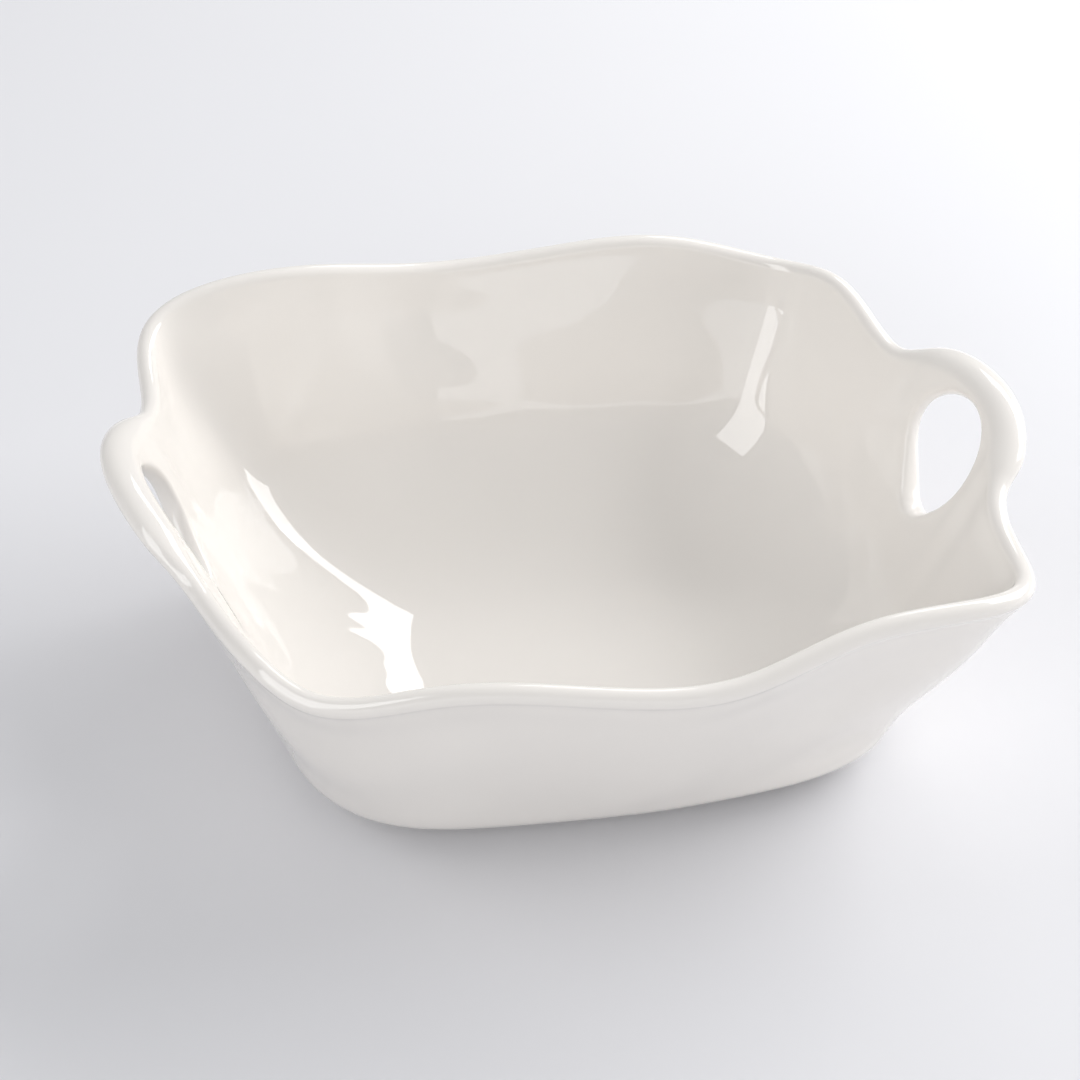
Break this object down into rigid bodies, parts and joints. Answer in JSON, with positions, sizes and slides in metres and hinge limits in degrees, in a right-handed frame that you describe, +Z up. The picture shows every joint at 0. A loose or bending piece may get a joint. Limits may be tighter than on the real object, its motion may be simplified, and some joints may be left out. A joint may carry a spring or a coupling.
{
  "type": "porcelain serving bowl",
  "caption": "Free-form squarish porcelain serving bowl with sloping walls, an undulating rolled lip, pierced loop handles on its ends and a low foot ring.",
  "frame": {"origin": "middle of the foot's resting face, on the surface that the bowl stands on", "axes": "+X along the line through the two handles, +Y towards the side that the back lip runs along, +Z up"},
  "size_m": [0.326, 0.2644, 0.1133],
  "materials": {
    "glazed_porcelain": "warm white gloss glaze on porcelain",
    "bare_porcelain": "unglazed fired porcelain, ground smooth"
  },
  "bodies": {
    "root": {"bowl_body": "glazed_porcelain", "back_lip": "glazed_porcelain", "front_lip": "glazed_porcelain", "right_handle": "glazed_porcelain", "left_handle": "glazed_porcelain", "foot_ring": "bare_porcelain"}
  },
  "joints": []
}
